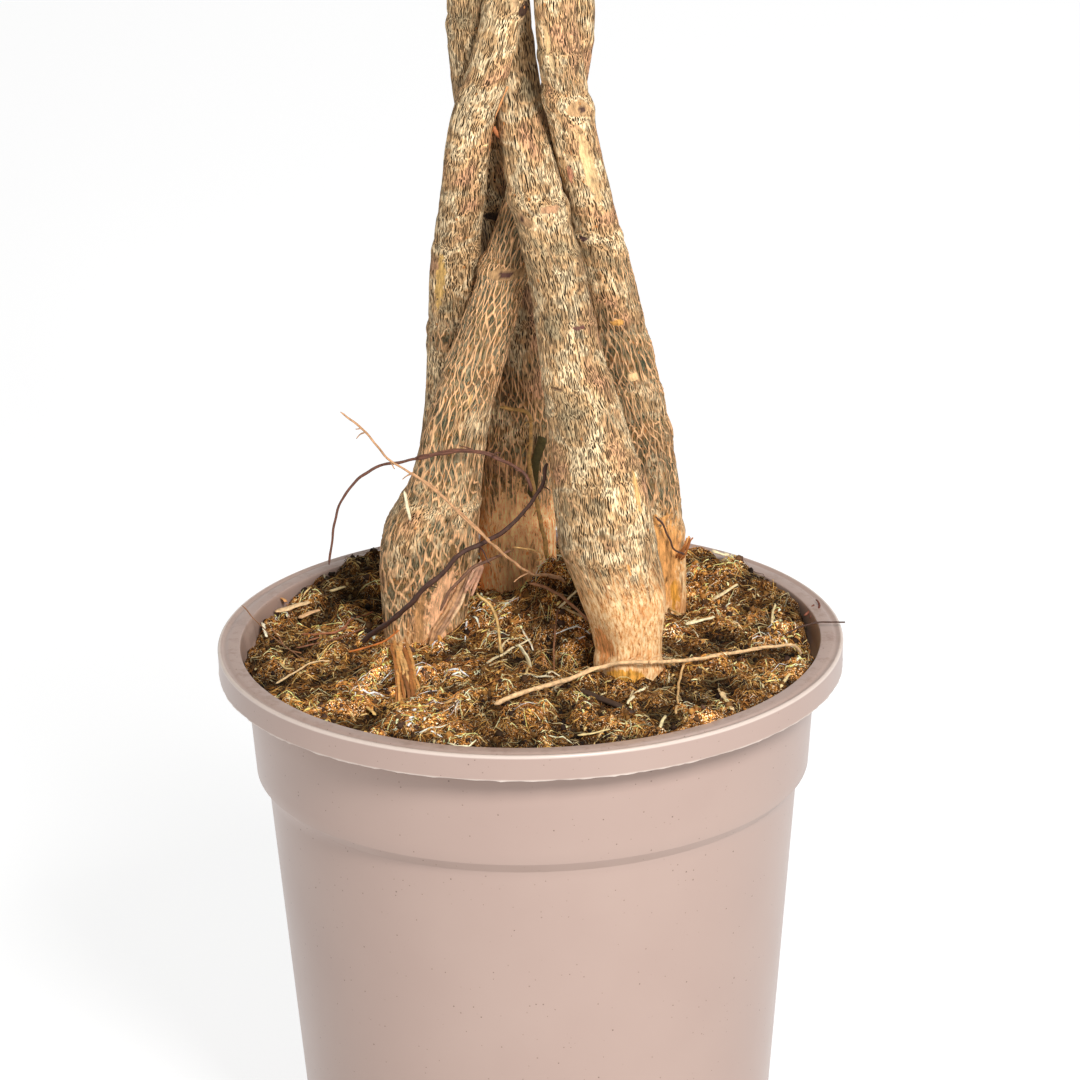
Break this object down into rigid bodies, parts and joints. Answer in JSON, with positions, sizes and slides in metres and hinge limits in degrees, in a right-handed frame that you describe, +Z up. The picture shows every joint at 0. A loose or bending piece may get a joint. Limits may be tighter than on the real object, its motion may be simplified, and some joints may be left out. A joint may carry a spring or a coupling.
{
  "type": "potted money tree",
  "caption": "Braided money tree in a plastic nursery pot: swollen woody trunks plaited together, with green shoots and palmate leaves above.",
  "frame": {"origin": "centre of the pot's flat underside, on the surface that the pot stands on", "axes": "+Z up along the pot's axis and the plait; -Y is the side that the picture's camera looks at, +X is to its right"},
  "size_m": [0.5034, 0.5081, 1.1296],
  "materials": {
    "pot": "satin",
    "soil": "matte",
    "bark": "matte",
    "root": "matte",
    "root_dark": "matte",
    "shoot": "satin",
    "leaf": "satin"
  },
  "bodies": {
    "root": {"pot": "pot", "soil": "soil", "trunk_left": "bark", "trunk_front": "bark", "trunk_right": "bark", "trunk_back": "bark", "trunk_back_left": "bark", "root_pale": "root", "root_dark": "root_dark", "root_straw": "root", "root_long": "root", "shoot_left": "shoot", "shoot_front": "shoot", "shoot_right": "shoot", "shoot_back": "shoot", "shoot_back_left": "shoot", "leaf_left_1": "leaf", "leaf_front_1": "leaf", "leaf_right_1": "leaf", "leaf_back_1": "leaf", "leaf_back_left_1": "leaf", "leaf_left_2": "leaf", "leaf_front_2": "leaf", "leaf_right_2": "leaf", "leaf_back_2": "leaf", "leaf_back_left_2": "leaf", "leaf_left_3": "leaf", "leaf_front_3": "leaf", "leaf_right_3": "leaf", "leaf_back_3": "leaf", "leaf_back_left_3": "leaf", "leaf_left_4": "leaf", "leaf_front_4": "leaf", "leaf_right_4": "leaf", "leaf_back_4": "leaf", "leaf_back_left_4": "leaf", "leaf_left_5": "leaf", "leaf_front_5": "leaf", "leaf_right_5": "leaf", "leaf_back_5": "leaf", "leaf_back_left_5": "leaf", "leaf_left_6": "leaf", "leaf_front_6": "leaf", "leaf_right_6": "leaf", "leaf_back_6": "leaf", "leaf_back_left_6": "leaf", "leaf_right_7": "leaf", "leaf_right_8": "leaf"}
  },
  "joints": []
}
